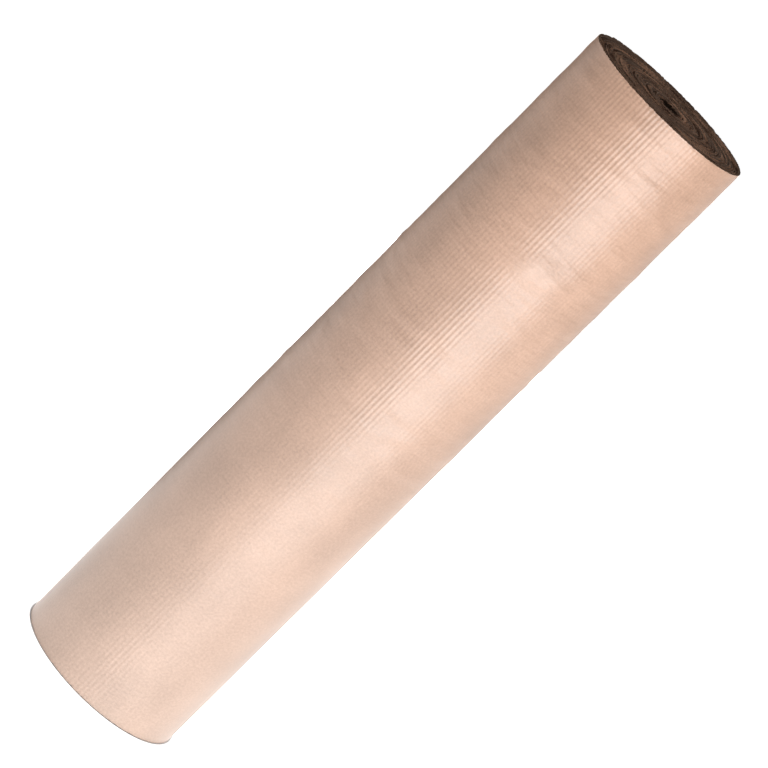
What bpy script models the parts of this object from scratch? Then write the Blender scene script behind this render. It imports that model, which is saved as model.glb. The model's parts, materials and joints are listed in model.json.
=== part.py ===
"""A standing roll of single-face corrugated board, in metres, +Z up along the roll's axis.

The board is one long web of two plies: a smooth kraft liner, and a fluted medium glued to the liner's inner
side, with its flutes parallel to the roll's axis. It is wound without a core tube, liner outwards, and its
free end is held down at the back (+Y) by three strips of gummed tape. The origin is the centre of the end
that the roll stands on.

A place on the web is given by its winding: the number of turns from the web's free end, counted inwards.
The wound turns are full-thickness bands. The outermost turn has its two plies apart, and the last stretch of
it is a chain of short panels, each hinged to the one before along a line on the liner's outer face, so that
the web can be unrolled until that stretch is flat.
"""

import math

import bpy
from mathutils import Vector

# Driving dimensions
ROLL_LENGTH = 1.000  # the width of the web
OUTER_RADIUS = 0.1191  # to the liner's outer face at the free end
HOLLOW_RADIUS = 0.0135  # the mean radius left open in the middle
TURN_PITCH = 0.0029  # how much each turn adds to the radius
LINER_THICKNESS = 0.0003
MEDIUM_THICKNESS = 0.00035
GLUE_GAP = 0.0002  # between the liner and the medium's crests
TURN_GAP = 0.0003  # between one turn and the next
FLUTES_PER_TURN = 124  # in the outermost turn
FLUTE_REACH = 0.6 * MEDIUM_THICKNESS  # from the medium's middle to its surface, across a sloping flute

# The winding isn't quite round: the hollow sits off the axis, is a little wider than deep, and has four
# blunt corners. All three fade out towards the outermost turn.
HOLLOW_SHIFT = 0.0022
HOLLOW_OVAL = 0.0010
HOLLOW_CORNERS = 0.0012

# The free stretch of the web, centred on the back of the roll
PANEL_COUNT = 6
FLUTES_PER_PANEL = 7
PANEL_GAP = 0.0003
BACK_ANGLE = math.radians(90.0)

# The gummed tapes over the free end
TAPE_HEIGHTS = {"bottom": 0.15, "middle": 0.50, "top": 0.85}
TAPE_WIDTH = 0.050
TAPE_THICKNESS = 0.0003
TAPE_ON_PANEL = 0.034  # its length on the free end
TAPE_ON_ROLL = 0.036  # its length on the turn beneath
TAPE_STEP = 0.009  # the slope between the two
TAPE_PIECES = 4

# Worked out from the driving dimensions
TURNS = (OUTER_RADIUS - HOLLOW_RADIUS) / TURN_PITCH - 1.0
BAND_THICKNESS = TURN_PITCH - TURN_GAP - 0.0001
PANEL_TURN = FLUTES_PER_PANEL / FLUTES_PER_TURN
FREE_TURN = PANEL_COUNT * PANEL_TURN
FREE_END_ANGLE = BACK_ANGLE + math.pi * FREE_TURN
BAND_STEPS_PER_TURN = 24


def clear_scene():
    for obj in list(bpy.data.objects):
        bpy.data.objects.remove(obj, do_unlink=True)


def make_material(name, colour, roughness):
    material = bpy.data.materials.new(name)
    material.use_nodes = True
    shader = material.node_tree.nodes["Principled BSDF"]
    shader.inputs["Base Color"].default_value = (*colour, 1.0)
    shader.inputs["Roughness"].default_value = roughness
    shader.inputs["Metallic"].default_value = 0.0
    return material


def web_angle(winding):
    """The direction from the axis: the web is wound clockwise inwards, seen from above."""
    return FREE_END_ANGLE - 2.0 * math.pi * winding


def web_point(winding, inset=0.0):
    """A point on the web's outer face at this winding, or inset towards the axis."""
    angle = web_angle(winding)
    radius = OUTER_RADIUS - TURN_PITCH * winding
    depth = winding / TURNS
    radius += depth * HOLLOW_SHIFT * math.cos(angle)
    radius += depth * (HOLLOW_OVAL * math.cos(2.0 * angle) + HOLLOW_CORNERS * math.cos(4.0 * angle))
    radius -= inset
    return Vector((radius * math.cos(angle), radius * math.sin(angle), 0.0))


def share_of_turn(length, winding=0.0):
    """A length along the web at this winding, as a share of a turn."""
    return length / (2.0 * math.pi * (OUTER_RADIUS - TURN_PITCH * winding))


def band_point(winding):
    """A point on a wound band, whose outer face is flat between its corners, half a step off the whole turns."""
    corner = math.floor(winding * BAND_STEPS_PER_TURN - 0.5) + 0.5
    here = web_point(corner / BAND_STEPS_PER_TURN)
    after = web_point((corner + 1.0) / BAND_STEPS_PER_TURN)
    return here.lerp(after, winding * BAND_STEPS_PER_TURN - corner)


def make_sheet(name, points, thickness, offset, material, height=ROLL_LENGTH, base=0.0, parent=None):
    """An upright sheet along the given points, which run clockwise, thickened towards the axis
    for an offset of -1 or evenly to both sides for 0."""
    origin = parent.matrix_world.translation if parent else Vector()
    curve = bpy.data.curves.new(name, "CURVE")
    curve.dimensions = "2D"
    curve.fill_mode = "NONE"
    curve.extrude = 0.5 * height
    spline = curve.splines.new("POLY")
    spline.points.add(len(points) - 1)
    for target, point in zip(spline.points, points):
        target.co = (point.x - origin.x, point.y - origin.y, 0.0, 1.0)
    curve.materials.append(material)

    sheet = bpy.data.objects.new(name, curve)
    sheet.location = (0.0, 0.0, base + 0.5 * height)
    sheet.parent = parent
    solidify = sheet.modifiers.new("Thickness", "SOLIDIFY")
    solidify.thickness = thickness
    solidify.offset = offset
    solidify.use_even_offset = True
    roll.objects.link(sheet)
    return sheet


def make_band(name, start, end, material):
    """Turns of the web at full thickness, from one winding to another further in."""
    first = math.ceil(start * BAND_STEPS_PER_TURN + 0.5) - 0.5
    count = math.floor(end * BAND_STEPS_PER_TURN - first)
    corners = [(first + step) / BAND_STEPS_PER_TURN for step in range(count + 1)]
    start += share_of_turn(0.5 * PANEL_GAP, start)
    end -= share_of_turn(0.5 * PANEL_GAP, end)
    points = [band_point(winding) for winding in (start, *corners, end)]
    return make_sheet(name, points, BAND_THICKNESS, -1.0, material)


def make_plies(suffix, start, end, parent=None):
    """The liner and the fluted medium of a stretch of the outermost turn."""
    flutes = round((end - start) * FLUTES_PER_TURN)
    start += share_of_turn(0.5 * PANEL_GAP)
    end -= share_of_turn(0.5 * PANEL_GAP)
    crest = LINER_THICKNESS + GLUE_GAP + FLUTE_REACH
    trough = TURN_PITCH - TURN_GAP - FLUTE_REACH

    liner = [web_point(start + (end - start) * i / flutes) for i in range(flutes + 1)]
    make_sheet(f"liner_{suffix}", liner, LINER_THICKNESS, -1.0, liner_paper, parent=parent)

    halves = 2 * flutes
    medium = [
        web_point(start + (end - start) * i / halves, trough if i % 2 else crest) for i in range(halves + 1)
    ]
    make_sheet(f"fluting_{suffix}", medium, MEDIUM_THICKNESS, 0.0, medium_paper, parent=parent)


def make_hinge(number, parent):
    """An empty on the line where a panel of the free end turns, on the liner's outer face."""
    hinge = bpy.data.objects.new(f"hinge_{number}", None)
    place = web_point(FREE_TURN - (number - 1) * PANEL_TURN)
    hinge.location = place - (parent.matrix_world.translation if parent else Vector())
    hinge.parent = parent
    hinge.empty_display_size = 0.02
    roll.objects.link(hinge)
    bpy.context.view_layer.update()
    return hinge


def make_tape(name, height, parent):
    """A strip of tape from the free end down onto the turn beneath."""
    lift = TAPE_THICKNESS + TURN_GAP
    on_panel = share_of_turn(TAPE_ON_PANEL)
    on_roll = share_of_turn(TAPE_ON_ROLL)
    foot_of_step = 1.0 - share_of_turn(TAPE_STEP)
    shares = [i / TAPE_PIECES for i in range(TAPE_PIECES + 1)]
    points = [web_point(foot_of_step - on_roll * (1.0 - share), -lift) for share in shares]
    points += [web_point(on_panel * share, -lift) for share in shares]
    base = height - 0.5 * TAPE_WIDTH
    return make_sheet(name, points, TAPE_THICKNESS, -1.0, tape_paper, TAPE_WIDTH, base, parent)


clear_scene()
roll = bpy.data.collections.new("corrugated_board_roll")
bpy.context.scene.collection.children.link(roll)

liner_paper = make_material("kraft_liner", (0.62, 0.42, 0.29), 0.65)
medium_paper = make_material("kraft_medium", (0.30, 0.19, 0.12), 0.85)
board = make_material("corrugated_board", (0.36, 0.24, 0.16), 0.85)
tape_paper = make_material("gummed_tape", (0.52, 0.34, 0.20), 0.45)

# The wound turns, from the hollow outwards
make_band("core_turns", 28.0, TURNS, board)
make_band("inner_turns", 19.0, 28.0, board)
make_band("middle_turns", 10.0, 19.0, board)
make_band("outer_turns", 1.0, 10.0, board)

# The outermost turn, up to the free stretch
make_plies("last_turn", FREE_TURN, 1.0)

# The free stretch, panel by panel to the free end
hinge = None
for number in range(1, PANEL_COUNT + 1):
    hinge = make_hinge(number, hinge)
    panel_end = FREE_TURN - (number - 1) * PANEL_TURN
    make_plies(f"panel_{number}", panel_end - PANEL_TURN, panel_end, hinge)

for place, height in TAPE_HEIGHTS.items():
    make_tape(f"closing_tape_{place}", height, hinge)
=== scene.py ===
"""Looks of a standing roll of single-face corrugated board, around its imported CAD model.

The web is a smooth kraft liner with a fluted medium glued to its inner side. It is wound without a core,
liner outwards, and its free end is taped down at the back. A place on the web is given by the number of
flutes from its free end, counted inwards.
"""

import json
import math
import random

import bpy
from mathutils import Matrix, Vector, noise


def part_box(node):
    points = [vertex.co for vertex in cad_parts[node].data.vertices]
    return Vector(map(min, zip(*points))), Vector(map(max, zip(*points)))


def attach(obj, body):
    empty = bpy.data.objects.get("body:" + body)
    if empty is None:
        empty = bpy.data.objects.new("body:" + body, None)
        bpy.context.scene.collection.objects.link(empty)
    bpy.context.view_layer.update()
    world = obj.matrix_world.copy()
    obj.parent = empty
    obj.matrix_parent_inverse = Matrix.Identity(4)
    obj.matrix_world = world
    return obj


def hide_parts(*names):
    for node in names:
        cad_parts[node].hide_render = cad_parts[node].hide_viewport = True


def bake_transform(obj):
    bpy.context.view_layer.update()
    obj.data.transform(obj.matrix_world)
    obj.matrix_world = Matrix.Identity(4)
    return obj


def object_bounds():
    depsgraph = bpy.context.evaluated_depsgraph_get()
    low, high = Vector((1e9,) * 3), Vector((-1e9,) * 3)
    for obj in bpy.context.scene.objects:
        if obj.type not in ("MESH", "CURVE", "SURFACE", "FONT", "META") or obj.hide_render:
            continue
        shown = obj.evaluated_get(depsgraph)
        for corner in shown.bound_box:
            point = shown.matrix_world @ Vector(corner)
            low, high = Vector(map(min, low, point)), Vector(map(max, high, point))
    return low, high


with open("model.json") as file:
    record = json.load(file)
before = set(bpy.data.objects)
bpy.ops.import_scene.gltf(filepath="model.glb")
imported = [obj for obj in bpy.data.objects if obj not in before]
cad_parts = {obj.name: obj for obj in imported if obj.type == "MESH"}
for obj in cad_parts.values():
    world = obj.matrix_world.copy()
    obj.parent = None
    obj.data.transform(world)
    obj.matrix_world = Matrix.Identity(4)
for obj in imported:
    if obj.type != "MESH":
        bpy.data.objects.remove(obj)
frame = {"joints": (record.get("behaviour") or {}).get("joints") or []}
cad_low, cad_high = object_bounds()

# The winding, as the CAD has it, in metres
OUTER_RADIUS = 0.1191
HOLLOW_RADIUS = 0.0135
TURN_PITCH = 0.0029
HOLLOW_SHIFT = 0.0022
HOLLOW_OVAL = 0.0010
HOLLOW_CORNERS = 0.0012
FLUTES_PER_TURN = 124
FLUTES_PER_PANEL = 7
PANEL_COUNT = 6
BACK_ANGLE = math.radians(90.0)
TURNS = (OUTER_RADIUS - HOLLOW_RADIUS) / TURN_PITCH - 1.0
FREE_FLUTES = PANEL_COUNT * FLUTES_PER_PANEL
HALF_PANEL = 0.5 * FLUTES_PER_PANEL
LINING_TURNS = 1.0  # the innermost turns, which are the hollow's wall
BEND_ON_ROLL = 0.5  # flutes of the fixed turn before the first hinge
HINGE_TOLERANCE = 0.001
FREE_END_ANGLE = BACK_ANGLE + math.pi * FREE_FLUTES / FLUTES_PER_TURN
ONE_TURN = 2.0 * math.pi * (OUTER_RADIUS - 0.5 * TURN_PITCH)
FLUTE_PITCH = ONE_TURN / FLUTES_PER_TURN
BAND_WINDINGS = {
    "core": (28.0, TURNS),
    "inner": (19.0, 28.0),
    "middle": (10.0, 19.0),
    "outer": (1.0, 10.0),
}

# The two plies
LINER_THICKNESS = 0.00028
MEDIUM_THICKNESS = 0.00022
TURN_GAP = 0.00012  # between the medium and the turn beneath it
MEDIUM_TOP = LINER_THICKNESS + 0.5 * MEDIUM_THICKNESS
MEDIUM_BOTTOM = TURN_PITCH - TURN_GAP - 0.5 * MEDIUM_THICKNESS
CREST_ROUNDNESS = 0.82  # 0 for a plain sine, 1 for the bluntest crests
MEDIUM_TAKE_UP = 1.3  # the length of medium in a length of board
JOIN_GAP = 0.00004  # between pieces of one ply, so that they don't share a face

# How far the wound web strays from an even spiral
STRAY = 0.0005
STRAY_SIZE = 0.045  # of its waves
STRAY_RADIUS = 0.108  # there's none outside this radius
STRAY_FADE = 0.03  # over how much radius it grows to the full
LOOSE_RINGS = ((0.024, 0.0007), (0.047, 0.0011), (0.066, 0.0007))  # radius, gap at its left and right

# The web's cut edges at the two ends of the roll
END_DISH = 0.0016  # how far the inner turns sit below the last one
DISH_FROM = 0.8  # in turns from the free end
DISH_OVER = 1.5
END_STEP = 0.0024  # how far one turn's edge wanders from the next
END_MEAN = 0.3  # the mean of that wandering, as a share of it
END_STEP_OUTSIDE = 0.25  # the share of it that the last turn has
WANDER_PER_TURN = 0.83  # how quickly it changes from turn to turn
WANDER_ROUND = 1.3  # and round a turn
LOWER_END_PLACE = Vector((0.0, 0.0, 30.0))  # where the lower end takes its noise from
END_ROUGHNESS = 0.0020
ROUGH_PER_FLUTE = 2.3
MEDIUM_EDGE_SHIFT = 40.0  # flutes by which the medium's edge is out of step with the liner's
PROUD_SPREAD = 0.7  # how far a proud place reaches round the roll, in radians
PROUD_TURNS = 0.4  # and across it
# Where the web's upper edge stands a little proud: turns out from the hollow, angle in degrees, height
PROUD_RINGS = (
    (1.5, 150.0, 0.0030),
    (1.5, 15.0, 0.0022),
    (5.5, 12.0, 0.0024),
    (9.6, 8.0, 0.0018),
    (13.0, 170.0, 0.0016),
)

# The ribs on the outer face of the last turn. A level is a share of the roll's length.
RIB_DEPTH = 0.00036
RIB_MEAN = 0.8  # the height of a rib's middle, in half depths
RIB_ANGLE = math.radians(-92.0)  # where they show most
RIB_SPREAD = 0.55
RIB_STRENGTH = (0.35, 0.95)  # all round, and what the front adds
RIB_PATCHES = (22.0, 0.85, 0.5)  # the scale of the stronger patches, their mean and their swing
RIB_LOW_SHARE = 0.45  # of their strength below the middle of the roll
RIB_MIDDLE = (0.42, 0.15)  # the level where that ends, and over how much
RIB_FOOT = (0.2, 0.1, 0.3)  # the level below which they strengthen again, over how much, and by how much
RIB_HEAD = (0.86, 0.1, 0.35)  # the same above a level

# Its soft bulges
BULGE_DEPTH = 0.0012
BULGE_FRESH_SHARE = 0.12  # of their depth at the foot of the roll, which is hardly worn
WORN_FROM = 0.25  # the level where the wear begins
WORN_OVER = 0.35
BULGE_SCALE = (9.0, 26.0)  # of the noise, round the roll and along it
BULGE_PLACE = 4.0
BULGE_FINE_SCALE = (30.0, 75.0)
BULGE_FINE_SHARE = 0.45

# Its short ripples, which lie across the flutes, and its one buckle
RIPPLE_COUNT = 60
RIPPLE_DEPTH = 0.0008
RIPPLE_ENDS = 1.6  # where a ripple is cut off, in half lengths
RIPPLE_SIDES = 3.0  # and in widths
BUCKLE_HEIGHT = 0.765
BUCKLE_DEPTH = 0.0030
BUCKLE_ANGLE = math.radians(-74.0)
BUCKLE_SPREAD = 0.45
BUCKLE_REACH_UP = 0.015
BUCKLE_REACH_DOWN = 0.026
BUCKLE_SLOPE = 0.012
BUCKLE_CREST_ANGLE = math.radians(-70.0)
BUCKLE_CREST_SPREAD = 0.3
BUCKLE_FLANK_SHARE = 0.35  # of its depth away from the crest

# How finely the pieces are drawn
BAND_PER_FLUTE = 10
LINER_PER_FLUTE = 4
SKIN_PER_FLUTE = 5
ROWS = 240
END_ROW = 0.0006  # the share of the height in the narrow row at each end
TAPE_COLUMNS = 72
TAPE_ROWS = 30

# The gummed tapes over the free end
TAPE_THICKNESS = 0.00016
TAPE_ON_PANEL = 0.034
TAPE_ON_ROLL = 0.036
TAPE_STEP = 0.009
TAPE_LIFT = 0.00025
TAPE_COCKLE = 0.00030
COCKLE_PER_FLUTE = 0.5
COCKLE_PER_METRE = 70.0
TAPE_RAGGED = 0.0007  # how far its torn ends stray
RAGGED_PER_METRE = 400.0

LENGTH = cad_high.z - cad_low.z
BASE = cad_low.z
rng = random.Random(20)


def smooth(value):
    """From 0 to 1 with a soft start and end."""
    value = min(max(value, 0.0), 1.0)
    return value * value * (3.0 - 2.0 * value)


def mix(a, b, share):
    return a + (b - a) * share


def bell(value):
    return math.exp(-value * value)


def turned(angle):
    """The same direction, as an angle between -pi and pi."""
    return (angle + math.pi) % (2.0 * math.pi) - math.pi


# ---------------------------------------------------------------- the web's shape


def winding_at(flutes):
    """The number of turns that this many flutes of web make."""
    if flutes <= FLUTES_PER_TURN:
        return flutes / FLUTES_PER_TURN
    length = ONE_TURN + (flutes - FLUTES_PER_TURN) * FLUTE_PITCH
    return (OUTER_RADIUS - math.sqrt(OUTER_RADIUS**2 - TURN_PITCH * length / math.pi)) / TURN_PITCH


def flutes_at(winding):
    if winding <= 1.0:
        return winding * FLUTES_PER_TURN
    length = 2.0 * math.pi * (OUTER_RADIUS * winding - 0.5 * TURN_PITCH * winding**2)
    return FLUTES_PER_TURN + (length - ONE_TURN) / FLUTE_PITCH


def web_angle(winding):
    return FREE_END_ANGLE - 2.0 * math.pi * winding


def web_radius(winding):
    """The radius of the web's outer face, as in the CAD."""
    angle = web_angle(winding)
    radius = OUTER_RADIUS - TURN_PITCH * winding
    depth = winding / TURNS
    radius += depth * HOLLOW_SHIFT * math.cos(angle)
    return radius + depth * (HOLLOW_OVAL * math.cos(2.0 * angle) + HOLLOW_CORNERS * math.cos(4.0 * angle))


def stray(radius, angle):
    """How far the winding strays there: soft waves, and rings that are looser at the left and right."""
    place = Vector((radius * math.cos(angle), radius * math.sin(angle), 0.0)) / STRAY_SIZE
    offset = STRAY * noise.noise(place) * smooth((STRAY_RADIUS - radius) / STRAY_FADE)
    for ring, gap in LOOSE_RINGS:
        inside = smooth((ring - radius) / TURN_PITCH + 0.5)
        offset -= gap * inside * math.cos(angle) ** 4 * (radius / ring) ** 2
    return offset


def web_point(flutes, inset=0.0, height=0.0):
    winding = winding_at(flutes)
    angle = web_angle(winding)
    radius = web_radius(winding)
    radius += stray(radius, angle) - inset
    return Vector((radius * math.cos(angle), radius * math.sin(angle), BASE + height))


def medium_inset(flutes):
    """How far in the medium lies. It touches the liner at whole numbers of flutes, with blunt crests."""
    wave = math.cos(2.0 * math.pi * flutes)
    bend = 0.5 * math.pi * CREST_ROUNDNESS
    wave = math.sin(bend * wave) / math.sin(bend)
    return mix(MEDIUM_BOTTOM, MEDIUM_TOP, 0.5 + 0.5 * wave)


def medium_point(flutes, side, height):
    """A point on the medium: side is 1 on its outer face and -1 on its inner face."""
    here = web_point(flutes, medium_inset(flutes), height)
    step = 0.02
    ahead = web_point(flutes + step, medium_inset(flutes + step), height)
    tangent = (ahead - here).normalized()
    outward = Vector((-tangent.y, tangent.x, 0.0))
    return here + outward * (0.5 * side * MEDIUM_THICKNESS)


def end_heights(flutes):
    """The heights of the web's lower and upper edges: the turns aren't quite level, the cut is rough."""
    winding = winding_at(flutes)
    angle = web_angle(winding)
    inside = smooth((winding - DISH_FROM) / DISH_OVER)
    place = Vector(
        (WANDER_PER_TURN * winding, WANDER_ROUND * math.cos(angle), WANDER_ROUND * math.sin(angle))
    )
    wander = END_STEP * mix(END_STEP_OUTSIDE, 1.0, inside)
    fine = abs(noise.noise(Vector((flutes * ROUGH_PER_FLUTE, 5.0, 0.0)))) * END_ROUGHNESS
    low = wander * max(0.0, END_MEAN + noise.noise(place + LOWER_END_PLACE)) + fine
    high = LENGTH - END_DISH * inside - wander * (END_MEAN + noise.noise(place)) - fine
    for turns_out, direction, rise in PROUD_RINGS:
        across = turned(angle - math.radians(direction)) / PROUD_SPREAD
        off = (TURNS - turns_out - winding) / PROUD_TURNS
        high += rise * math.exp(-across * across - off * off)
    return low, min(high, LENGTH)


# ---------------------------------------------------------------- the last turn's outer face

ripples = []
for number in range(RIPPLE_COUNT):
    ripples.append(
        {
            "height": LENGTH * mix(0.42, 0.98, rng.random()),
            "angle": mix(-math.pi, math.pi, rng.random()),
            "half_length": mix(0.18, 0.60, rng.random()),
            "width": mix(0.006, 0.012, rng.random()),
            "depth": RIPPLE_DEPTH * mix(0.3, 1.0, rng.random()),
            "slope": mix(-0.02, 0.02, rng.random()),
        }
    )


def buckle(angle, height):
    """One broad buckle across the front, where the liner stands clear of the flutes: 0 to 1."""
    across = turned(angle - BUCKLE_ANGLE)
    off = height - LENGTH * BUCKLE_HEIGHT - BUCKLE_SLOPE * across
    reach = BUCKLE_REACH_UP if off > 0.0 else BUCKLE_REACH_DOWN
    return math.exp(-((across / BUCKLE_SPREAD) ** 4)) * bell(off / reach)


def showing(angle, level):
    """How strongly the flutes show through the liner: most at the front and near the upper end."""
    everywhere, front = RIB_STRENGTH
    strength = everywhere + front * bell(turned(angle - RIB_ANGLE) / RIB_SPREAD)
    middle, middle_over = RIB_MIDDLE
    foot, foot_over, foot_gain = RIB_FOOT
    head, head_over, head_gain = RIB_HEAD
    along = mix(RIB_LOW_SHARE, 1.0, smooth((level - middle) / middle_over))
    along += foot_gain * smooth((foot - level) / foot_over)
    along += head_gain * smooth((level - head) / head_over)
    return strength * along


def bulge(place, height):
    """Soft noise for the bulges, of a broad and a finer size."""
    broad_round, broad_along = BULGE_SCALE
    fine_round, fine_along = BULGE_FINE_SCALE
    broad = Vector((place.x * broad_round, place.y * broad_round, height * broad_along + BULGE_PLACE))
    fine = Vector((place.x * fine_round, place.y * fine_round, height * fine_along))
    return noise.noise(broad) + BULGE_FINE_SHARE * noise.noise(fine)


def rippling(angle, height):
    """How far the short ripples lift the liner there."""
    offset = 0.0
    for ripple in ripples:
        across = turned(angle - ripple["angle"]) / ripple["half_length"]
        if abs(across) < RIPPLE_ENDS:
            off = (height - ripple["height"] - ripple["slope"] * across) / ripple["width"]
            if abs(off) < RIPPLE_SIDES:
                offset += ripple["depth"] * math.exp(-(across**4)) * bell(off)
    return offset


def skin(flutes, height):
    """How far the liner's outer face stands proud of its even curve."""
    angle = web_angle(winding_at(flutes))
    place = Vector((math.cos(angle), math.sin(angle), 0.0)) * OUTER_RADIUS
    place.z = height
    level = height / LENGTH
    lift = buckle(angle, height)
    patch_scale, patch_mean, patch_swing = RIB_PATCHES
    patches = patch_mean + patch_swing * noise.noise(place * patch_scale)
    strength = showing(angle, level) * patches * (1.0 - lift)
    offset = 0.5 * RIB_DEPTH * (RIB_MEAN + math.cos(2.0 * math.pi * flutes)) * strength
    worn = smooth((level - WORN_FROM) / WORN_OVER)
    offset += BULGE_DEPTH * mix(BULGE_FRESH_SHARE, 1.0, worn) * max(bulge(place, height), 0.0)
    crest = bell(turned(angle - BUCKLE_CREST_ANGLE) / BUCKLE_CREST_SPREAD)
    offset += BUCKLE_DEPTH * lift * mix(BUCKLE_FLANK_SHARE, 1.0, crest)
    return offset + rippling(angle, height)


# ---------------------------------------------------------------- meshes


def make_shell(name, outside, inside, places, materials):
    """A closed sheet from two grids of points, each a list of columns from the bottom up. places holds
    each column's distance along the web, for the texture. The materials are for the outer face, the inner
    face and the cut edges."""
    points = [point for column in outside for point in column]
    start = len(points)
    points += [point for column in inside for point in column]
    rows = len(outside[0])
    back_rows = len(inside[0])
    columns = len(outside)

    def front(column, row):
        return column * rows + row

    def back(column, row):
        return start + column * back_rows + row

    faces = []
    for column in range(columns - 1):
        after = column + 1
        for row in range(rows - 1):
            up = row + 1
            faces.append((front(column, row), front(column, up), front(after, up), front(after, row)))
    outside_count = len(faces)
    for column in range(columns - 1):
        after = column + 1
        for row in range(back_rows - 1):
            up = row + 1
            faces.append((back(column, row), back(after, row), back(after, up), back(column, up)))
    sheet_count = len(faces)
    top = rows - 1
    back_top = back_rows - 1
    for column in range(columns - 1):
        after = column + 1
        upper = back(column, back_top), back(after, back_top)
        faces.append((front(column, top), *upper, front(after, top)))
        faces.append((front(column, 0), front(after, 0), back(after, 0), back(column, 0)))
    last = columns - 1
    down = range(rows - 1, -1, -1)
    back_down = range(back_rows - 1, -1, -1)
    faces.append([back(0, row) for row in range(back_rows)] + [front(0, row) for row in down])
    faces.append([front(last, row) for row in range(rows)] + [back(last, row) for row in back_down])

    mesh = bpy.data.meshes.new(name)
    mesh.from_pydata(points, [], faces)
    for material in materials:
        mesh.materials.append(material)
    for number, face in enumerate(mesh.polygons):
        face.use_smooth = number < sheet_count
        face.material_index = (number >= outside_count) + (number >= sheet_count)
    edge_keys = {key for face in mesh.polygons[sheet_count:] for key in face.edge_keys}
    for edge in mesh.edges:
        edge.use_edge_sharp = edge.key in edge_keys
    along = [place for place in places for row in range(rows)]
    along += [place for place in places for row in range(back_rows)]
    layer = mesh.uv_layers.new(name="web")
    for loop, item in zip(mesh.loops, layer.data):
        item.uv = (along[loop.vertex_index], points[loop.vertex_index].z)
    mesh.update()
    obj = bpy.data.objects.new(name, mesh)
    bpy.context.scene.collection.objects.link(obj)
    return obj


def spread(start, end, per_flute):
    """Places along the web from start to end, a little short of both, so that pieces don't touch."""
    gap = 0.5 * JOIN_GAP / FLUTE_PITCH
    count = max(2, round((end - start) * per_flute))
    return [mix(start + gap, end - gap, i / count) for i in range(count + 1)]


def make_liner(name, start, end, per_flute, rows=1, detailed=False):
    """A stretch of the liner. The last turn's is detailed, with all that shows on its outer face."""
    outside, inside, places = [], [], []
    shares = [row / rows for row in range(rows + 1)]
    if detailed:
        shares = [0.0, END_ROW, *shares[1:-1], 1.0 - END_ROW, 1.0]
    for flutes in spread(start, end, per_flute):
        low, high = end_heights(flutes)
        column = []
        for share in shares:
            height = mix(low, high, share)
            proud = skin(flutes, height) if detailed else 0.0
            column.append(web_point(flutes, -proud, height))
        outside.append(column)
        inside.append([web_point(flutes, LINER_THICKNESS, height) for height in (low, high)])
        places.append(flutes * FLUTE_PITCH)
    return make_shell(name, outside, inside, places, (liner_face, liner_back, liner_edge))


def make_fluting(name, start, end, materials):
    """A stretch of the fluted medium."""
    outside, inside, places = [], [], []
    for flutes in spread(start, end, BAND_PER_FLUTE):
        heights = end_heights(flutes + MEDIUM_EDGE_SHIFT)
        outside.append([medium_point(flutes, 1.0, height) for height in heights])
        inside.append([medium_point(flutes, -1.0, height) for height in heights])
        places.append(flutes * FLUTE_PITCH * MEDIUM_TAKE_UP)
    return make_shell(name, outside, inside, places, materials)


def under_tape(along):
    """The radius of what the tape lies on, this many flutes from the free end: negative is beyond it."""
    if along > 0.0:
        return web_radius(along / FLUTES_PER_TURN)
    beneath = web_radius(1.0 + along / FLUTES_PER_TURN)
    return mix(OUTER_RADIUS, beneath, smooth(-along * FLUTE_PITCH / TAPE_STEP))


def make_tape(name, low, high):
    """A strip of gummed tape over the step at the free end, a little cockled where it was wetted."""
    seed = 7.0 * len(name)
    tape_start = -(TAPE_ON_ROLL + TAPE_STEP) / FLUTE_PITCH
    tape_end = TAPE_ON_PANEL / FLUTE_PITCH
    outside, inside, places = [], [], []
    for step in range(TAPE_COLUMNS + 1):
        along = mix(tape_start, tape_end, step / TAPE_COLUMNS)
        flutes = along if along > 0.0 else along + FLUTES_PER_TURN
        column, under = [], []
        for row in range(TAPE_ROWS + 1):
            height = mix(low, high, row / TAPE_ROWS) - BASE
            angle = FREE_END_ANGLE - 2.0 * math.pi * along / FLUTES_PER_TURN
            if step in (0, TAPE_COLUMNS):
                torn = noise.noise(Vector((height * RAGGED_PER_METRE, 0.0, seed)))
                angle += TAPE_RAGGED * torn / OUTER_RADIUS
            cockle = noise.noise(Vector((along * COCKLE_PER_FLUTE, height * COCKLE_PER_METRE, seed)))
            proud = TAPE_LIFT + max(0.0, skin(flutes, height)) + TAPE_COCKLE * max(0.0, cockle)
            direction = Vector((math.cos(angle), math.sin(angle), 0.0))
            level = Vector((0.0, 0.0, BASE + height))
            radius = under_tape(along) + proud
            column.append(direction * (radius + TAPE_THICKNESS) + level)
            under.append(direction * radius + level)
        outside.append(column)
        inside.append(under)
        places.append(along * FLUTE_PITCH)
    return make_shell(name, outside, inside, places, (tape_face, tape_back, tape_back))


# ---------------------------------------------------------------- materials


# The noise in the paper: scale per metre, detail, and stretch along the web and up it
CLOUD = (14.0, 3.0, (1.0, 0.6, 1.0))
FORMATION = (330.0, 4.0, (0.8, 1.0, 1.0))
FIBRES = (1500.0, 5.0, (0.28, 1.0, 1.0))
SPECKS = (900.0, 1.0, (0.6, 1.0, 1.0))
BROAD_WRINKLES = (16.0, 2.0, (0.8, 4.2, 1.0))
FINE_WRINKLES = (130.0, 3.0, (0.7, 1.4, 1.0))

# How far each moves the tone between dark (0) and light (1)
FORMATION_TONE = 0.28  # either way, as for the fibres
FIBRE_TONE = 0.22
SPECK_TONE = 0.35  # to the dark only
CLOUD_RANGE = (0.35, 0.65)  # the noise's values at the ends of its tone
NOISE_RANGE = (0.3, 0.7)  # the same for the formation and the fibres
SPECK_RANGE = (0.70, 0.76)  # the same for the specks

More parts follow.
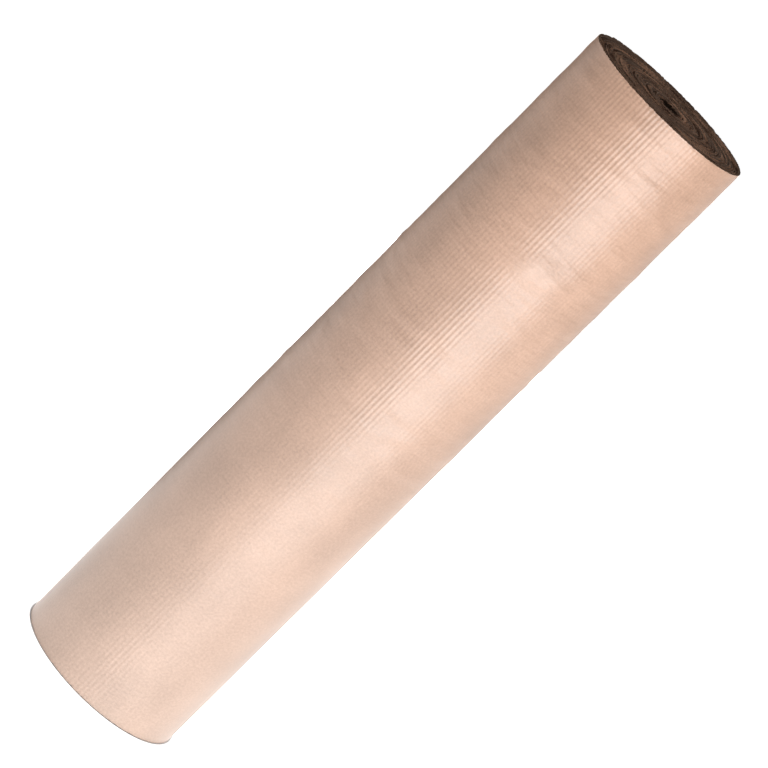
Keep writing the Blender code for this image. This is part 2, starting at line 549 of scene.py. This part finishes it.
ROUGHNESS_SWING = 0.06
TOOTH_DEPTH = 0.00004
FORMATION_RELIEF = 1.6  # of the fibres' relief
WRINKLE_DEPTH = 0.0011
FINE_WRINKLE_SHARE = 0.35
WRINKLE_LEVELS = (0.35, 0.75)  # the wrinkles grow between these shares of the roll's length
WRINKLE_FOOT_SHARE = 0.3  # of them below
PAINTED_TOP_SHADE = (1.05, 0.89, 0.77)  # painted shade: the tone at the upper edge, over that at the lower, so the foot looks paler as if lit by the white floor

# The sockets of a colour mix, whose names aren't unique
MIX_FACTOR = 0
MIX_FIRST = 6
MIX_SECOND = 7
MIX_RESULT = 2


def add(tree, kind, **settings):
    node = tree.nodes.new(kind)
    for key, value in settings.items():
        setattr(node, key, value)
    return node


def paper(name, dark, light, roughness, fibre=1.0, blotch=0.35, specular=0.3, wrinkled_with_painted_shade=False):
    """Kraft paper: cloudy formation, fibres along the web, dark specks and a fine tooth. Paper with soft
    wrinkles also gets a painted shade, browner and darker towards its upper edge, the foot paler as if lit
    by the white floor."""
    material = bpy.data.materials.new(name)
    material.use_nodes = True
    tree = material.node_tree
    link = tree.links.new
    shader = tree.nodes["Principled BSDF"]
    shader.inputs["Specular IOR Level"].default_value = specular
    uv = add(tree, "ShaderNodeUVMap", uv_map="web")

    def texture(scale, detail, stretch):
        mapping = add(tree, "ShaderNodeMapping")
        mapping.inputs["Scale"].default_value = stretch
        made = add(tree, "ShaderNodeTexNoise")
        made.inputs["Scale"].default_value = scale
        made.inputs["Detail"].default_value = detail
        link(uv.outputs["UV"], mapping.inputs["Vector"])
        link(mapping.outputs["Vector"], made.inputs["Vector"])
        return made.outputs["Fac"]

    def ramp(value, low, high, out_low, out_high):
        made = add(tree, "ShaderNodeMapRange")
        made.inputs["From Min"].default_value = low
        made.inputs["From Max"].default_value = high
        made.inputs["To Min"].default_value = out_low
        made.inputs["To Max"].default_value = out_high
        link(value, made.inputs["Value"])
        return made.outputs["Result"]

    def total(*values):
        result = values[0]
        for value in values[1:]:
            made = add(tree, "ShaderNodeMath", operation="ADD")
            link(result, made.inputs[0])
            link(value, made.inputs[1])
            result = made.outputs[0]
        return result

    def bumped(height, depth):
        made = add(tree, "ShaderNodeBump")
        made.inputs["Strength"].default_value = 1.0
        made.inputs["Distance"].default_value = depth
        link(height, made.inputs["Height"])
        return made

    cloud = texture(*CLOUD)
    formation = texture(*FORMATION)
    fibres = texture(*FIBRES)
    specks = texture(*SPECKS)
    fibre_tone = FIBRE_TONE * fibre
    tone = total(
        ramp(cloud, *CLOUD_RANGE, 0.5 - blotch * 0.5, 0.5 + blotch * 0.5),
        ramp(formation, *NOISE_RANGE, -FORMATION_TONE, FORMATION_TONE),
        ramp(fibres, *NOISE_RANGE, -fibre_tone, fibre_tone),
        ramp(specks, *SPECK_RANGE, 0.0, -SPECK_TONE * fibre),
    )
    colour = add(tree, "ShaderNodeMix", data_type="RGBA")
    colour.inputs[MIX_FIRST].default_value = (*dark, 1.0)
    colour.inputs[MIX_SECOND].default_value = (*light, 1.0)
    link(tone, colour.inputs[MIX_FACTOR])
    surface = colour.outputs[MIX_RESULT]
    relief = total(fibres, ramp(formation, 0.0, 1.0, 0.0, FORMATION_RELIEF))
    tooth = bumped(relief, TOOTH_DEPTH)

    if wrinkled_with_painted_shade:
        split = add(tree, "ShaderNodeSeparateXYZ")
        link(uv.outputs["UV"], split.inputs["Vector"])
        height = split.outputs["Y"]
        # Painted shade: the colour is multiplied browner and darker towards the upper edge, so the foot
        # looks paler as if lit by the white floor
        painted_top_shade_mix = add(tree, "ShaderNodeMix", data_type="RGBA", blend_type="MULTIPLY")
        painted_top_shade_mix.inputs[MIX_SECOND].default_value = (*PAINTED_TOP_SHADE, 1.0)
        link(ramp(height, 0.0, LENGTH, 0.0, 1.0), painted_top_shade_mix.inputs[MIX_FACTOR])
        link(surface, painted_top_shade_mix.inputs[MIX_FIRST])
        surface = painted_top_shade_mix.outputs[MIX_RESULT]

        wrinkles_from, wrinkles_full = WRINKLE_LEVELS
        amount = ramp(height, wrinkles_from * LENGTH, wrinkles_full * LENGTH, WRINKLE_FOOT_SHARE, 1.0)
        fine = ramp(texture(*FINE_WRINKLES), 0.0, 1.0, 0.0, FINE_WRINKLE_SHARE)
        product = add(tree, "ShaderNodeMath", operation="MULTIPLY")
        link(total(texture(*BROAD_WRINKLES), fine), product.inputs[0])
        link(amount, product.inputs[1])
        soft = bumped(product.outputs[0], WRINKLE_DEPTH)
        link(soft.outputs["Normal"], tooth.inputs["Normal"])

    rough = ramp(formation, *NOISE_RANGE, roughness - ROUGHNESS_SWING, roughness + ROUGHNESS_SWING)
    link(surface, shader.inputs["Base Color"])
    link(rough, shader.inputs["Roughness"])
    link(tooth.outputs["Normal"], shader.inputs["Normal"])
    return material


# The papers: darkest and lightest colour, then roughness
liner_face = paper(
    "kraft_liner_face", (0.236, 0.165, 0.126), (0.364, 0.257, 0.201), 0.44, specular=0.6, wrinkled_with_painted_shade=True
)
liner_back = paper("kraft_liner_back", (0.23, 0.145, 0.10), (0.30, 0.19, 0.135), 0.75)
liner_edge = paper(
    "kraft_liner_cut", (0.24, 0.14, 0.09), (0.85, 0.60, 0.45), 0.85, fibre=1.6, blotch=1.3
)
medium_face = paper(
    "kraft_medium_face", (0.17, 0.105, 0.07), (0.26, 0.165, 0.115), 0.8, fibre=1.3
)
medium_wound = paper(
    "kraft_medium_wound", (0.13, 0.063, 0.037), (0.74, 0.45, 0.30), 0.85, fibre=1.3, blotch=1.6
)
# Painted shade: near-black paper for the hollow's inner wall and cut edges, standing in for the shade deep
# in the hollow
medium_hollow_shade = paper(
    "kraft_medium_painted_hollow_shade", (0.035, 0.017, 0.009), (0.065, 0.034, 0.019), 0.85, fibre=1.3
)
medium_edge = paper(
    "kraft_medium_cut", (0.19, 0.10, 0.062), (0.70, 0.44, 0.30), 0.9, fibre=1.6, blotch=1.6
)
tape_face = paper("gummed_tape_face", (0.25, 0.16, 0.10), (0.33, 0.22, 0.145), 0.38, fibre=0.8)
tape_back = paper("gummed_tape_back", (0.22, 0.14, 0.09), (0.29, 0.19, 0.13), 0.45, fibre=0.6)


# ---------------------------------------------------------------- the pieces

# The medium's materials, where it is wound in, where it lines the hollow, and in the last turn. Where it
# lines the hollow, its inner face and cut edges are near-black, a painted shade for the deep hollow.
wound_medium = medium_wound, medium_wound, medium_edge
hollow_medium = medium_wound, medium_hollow_shade, medium_hollow_shade
free_medium = medium_face, medium_face, medium_edge

for band, (first_turn, last_turn) in BAND_WINDINGS.items():
    start = flutes_at(first_turn)
    end = flutes_at(last_turn)
    pieces = [(make_liner(f"{band}_turns_liner", start, end, LINER_PER_FLUTE), "kraft_liner")]
    if band == "core":
        lining_start = flutes_at(TURNS - LINING_TURNS)
        lining = make_fluting("hollow_medium", lining_start, end, hollow_medium)
        pieces.append((lining, "kraft_medium"))
        end = lining_start
    wound = make_fluting(f"{band}_turns_medium", start, end, wound_medium)
    pieces.append((wound, "kraft_medium"))
    for piece, slot in pieces:
        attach(piece, "roll")
        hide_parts(f"{band}_turns")

# The last turn is fixed up to half a panel before the first hinge
fixed_from = FREE_FLUTES + HALF_PANEL
liner = make_liner("last_turn_liner", fixed_from, FLUTES_PER_TURN, SKIN_PER_FLUTE, ROWS, True)
medium = make_fluting("last_turn_medium", fixed_from, FLUTES_PER_TURN, free_medium)
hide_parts("liner_last_turn")
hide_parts("fluting_last_turn")
for piece, slot in ((liner, "kraft_liner"), (medium, "kraft_medium")):
    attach(piece, "roll")

# The free stretch is drawn in one piece round each hinge, from the middle of one panel to the middle of
# the next
hinges = {joint["name"]: joint for joint in frame["joints"]}
for number in range(1, PANEL_COUNT + 1):
    joint = hinges[f"unroll_{number}"]
    at_hinge = FREE_FLUTES - (number - 1) * FLUTES_PER_PANEL
    place = Vector(joint["pos_m"])
    place.z = BASE
    drawn = web_point(at_hinge)
    if (drawn - place).length > HINGE_TOLERANCE:
        raise RuntimeError(f"hinge {number} isn't on the web: {drawn} {place}")
    end = 0.0 if number == PANEL_COUNT else at_hinge - HALF_PANEL
    start = at_hinge + HALF_PANEL
    liner = make_liner(f"free_stretch_liner_{number}", end, start, SKIN_PER_FLUTE, ROWS // 2, True)
    medium = make_fluting(f"free_stretch_medium_{number}", end, start, free_medium)
    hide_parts(f"liner_panel_{number}")
    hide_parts(f"fluting_panel_{number}")
    before = at_hinge + (BEND_ON_ROLL if number == 1 else HALF_PANEL)
    bend_start = web_point(before)
    bend_end = web_point(at_hinge - HALF_PANEL)
    for piece, slot in ((liner, "kraft_liner"), (medium, "kraft_medium")):
        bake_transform(piece)

for place in ("bottom", "middle", "top"):
    node = f"closing_tape_{place}"
    low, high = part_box(node)
    tape = make_tape(f"gummed_tape_{place}", low.z, high.z)
    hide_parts(node)
    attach(tape, f"panel_{PANEL_COUNT}")


# ---------------------------------------------------------------- stage, light and camera

FLOOR_HALF = 20.0
FLOOR_GLOW_NEAR = 1.85
FLOOR_GLOW_FAR = 0.80
FLOOR_NEAR = (1.2, 2.0)  # the distances between which the glow fades
FLOOR_SHADE = (0.1172, 0.1225)  # the contact shadow fades between these distances
FLOOR_SHADED_GLOW = 0.02  # the share of the glow that is left in the contact shadow
FLOOR_DROP = 0.0003  # below the roll
ROLL_MIDDLE = (0.0008, 0.0007)  # of the last turn, which is a spiral
WORLD_HORIZON = 0.9
WORLD_TOP = 0.27
WORLD_FADE = 0.35  # the height on a unit sphere where the sky has its upper brightness
STRIP_DISTANCE = 3.0
# Azimuth from the front, positive towards +X; height of the middle; width; height; power in watts
STRIPS = {
    "key": (48.0, 0.28, 0.9, 0.5, 48.0),
    "front": (20.0, 0.28, 1.0, 0.5, 58.0),
    "behind": (180.0, 0.60, 1.2, 1.2, 35.0),
}
# A black card that keeps the white surroundings out of the left edge: as above, without the power
CARD = (-150.0, 0.56, 0.42, 1.1)
CARD_DISTANCE = 0.7
CARD_GREY = 0.01
FLOOR_GREY = 0.92
CAMERA_DISTANCE = 5.274
CAMERA_HEIGHT = 1.8184
CAMERA_SIDE = -0.0046
CAMERA_PITCH = math.radians(13.9)
CAMERA_ROLL = math.radians(45.0)
CAMERA_LENS = 211.0


def soft_fade(tree, value, start, end, at_start, at_end):
    """A value that fades smoothly from one number to another."""
    fade = add(tree, "ShaderNodeMapRange", interpolation_type="SMOOTHSTEP")
    fade.inputs["From Min"].default_value = start
    fade.inputs["From Max"].default_value = end
    fade.inputs["To Min"].default_value = at_start
    fade.inputs["To Max"].default_value = at_end
    tree.links.new(value, fade.inputs["Value"])
    return fade.outputs["Result"]


def make_plane(name, corners, material_name, grey, specular):
    """A flat, grey piece of the stage."""
    mesh = bpy.data.meshes.new(name)
    mesh.from_pydata(corners, [], [(0, 1, 2, 3)])
    material = bpy.data.materials.new(material_name)
    material.use_nodes = True
    shader = material.node_tree.nodes["Principled BSDF"]
    shader.inputs["Base Color"].default_value = (grey, grey, grey, 1.0)
    shader.inputs["Specular IOR Level"].default_value = specular
    mesh.materials.append(material)
    plane = bpy.data.objects.new(name, mesh)
    bpy.context.scene.collection.objects.link(plane)
    return plane


def add_floor():
    """A white floor that glows round the roll, with a thin contact shadow."""
    half = FLOOR_HALF
    corners = [(-half, -half, BASE), (half, -half, BASE), (half, half, BASE), (-half, half, BASE)]
    floor = make_plane("floor", corners, "white_floor", FLOOR_GREY, 0.1)
    floor.location = (*ROLL_MIDDLE, -FLOOR_DROP)
    tree = floor.data.materials[0].node_tree
    shader = tree.nodes["Principled BSDF"]
    shader.inputs["Roughness"].default_value = 0.9
    shader.inputs["Emission Color"].default_value = (1.0, 1.0, 1.0, 1.0)
    place = add(tree, "ShaderNodeTexCoord")
    distance = add(tree, "ShaderNodeVectorMath", operation="LENGTH")
    product = add(tree, "ShaderNodeMath", operation="MULTIPLY")
    tree.links.new(place.outputs["Object"], distance.inputs[0])
    away = distance.outputs["Value"]
    glow = soft_fade(tree, away, *FLOOR_NEAR, FLOOR_GLOW_NEAR, FLOOR_GLOW_FAR)
    shade = soft_fade(tree, away, *FLOOR_SHADE, FLOOR_SHADED_GLOW, 1.0)
    tree.links.new(glow, product.inputs[0])
    tree.links.new(shade, product.inputs[1])
    tree.links.new(product.outputs[0], shader.inputs["Emission Strength"])


def add_world():
    """A white surround, brightest at the horizon."""
    world = bpy.data.worlds.new("studio")
    world.use_nodes = True
    tree = world.node_tree
    background = tree.nodes["Background"]
    coordinates = add(tree, "ShaderNodeTexCoord")
    split = add(tree, "ShaderNodeSeparateXYZ")
    tree.links.new(coordinates.outputs["Generated"], split.inputs["Vector"])
    strength = soft_fade(tree, split.outputs["Z"], 0.0, WORLD_FADE, WORLD_HORIZON, WORLD_TOP)
    tree.links.new(strength, background.inputs["Strength"])
    background.inputs["Color"].default_value = (1.0, 1.0, 1.0, 1.0)
    bpy.context.scene.world = world


def put_round(obj, azimuth, distance, height):
    """Place an object round the roll, and give the turn about +Z that faces it to the roll's axis."""
    turn = math.radians(azimuth)
    place = Vector((math.sin(turn), -math.cos(turn), 0.0)) * distance
    obj.location = place + Vector((0.0, 0.0, BASE + height))
    return turn


def add_strip(name, azimuth, height, width, tall, power):
    """A soft box that cameras don't see."""
    light = bpy.data.lights.new(name, "AREA")
    light.shape = "RECTANGLE"
    light.size = width
    light.size_y = tall
    light.energy = power
    lamp = bpy.data.objects.new(name, light)
    turn = put_round(lamp, azimuth, STRIP_DISTANCE, height)
    lamp.rotation_euler = (math.radians(90.0), 0.0, turn)
    lamp.visible_camera = False
    bpy.context.scene.collection.objects.link(lamp)


def add_card(azimuth, height, width, tall):
    """A black card that cameras don't see."""
    half = 0.5 * width
    top = 0.5 * tall
    corners = [(-half, 0.0, -top), (half, 0.0, -top), (half, 0.0, top), (-half, 0.0, top)]
    card = make_plane("black_card", corners, "black_card", CARD_GREY, 0.0)
    turn = put_round(card, azimuth, CARD_DISTANCE, height)
    card.rotation_euler = (0.0, 0.0, turn)
    card.visible_camera = False


def add_camera():
    """A long lens, looking down at the roll and rolled over by 45 degrees."""
    forward = Vector((0.0, math.cos(CAMERA_PITCH), -math.sin(CAMERA_PITCH)))
    level = Vector((1.0, 0.0, 0.0))
    rise = level.cross(forward)
    right = level * math.cos(CAMERA_ROLL) + rise * math.sin(CAMERA_ROLL)
    up = rise * math.cos(CAMERA_ROLL) - level * math.sin(CAMERA_ROLL)
    data = bpy.data.cameras.new("camera")
    data.lens = CAMERA_LENS
    data.sensor_width = 36.0
    data.clip_end = 100.0
    camera = bpy.data.objects.new("camera", data)
    turn = Matrix((right, up, -forward)).transposed()
    place = Matrix.Translation((CAMERA_SIDE, -CAMERA_DISTANCE, CAMERA_HEIGHT))
    camera.matrix_world = place @ turn.to_4x4()
    bpy.context.scene.collection.objects.link(camera)
    bpy.context.scene.camera = camera


add_floor()
add_world()
for name, settings in STRIPS.items():
    add_strip(name, *settings)
add_card(*CARD)
add_camera()
bpy.context.scene.view_settings.view_transform = "Standard"
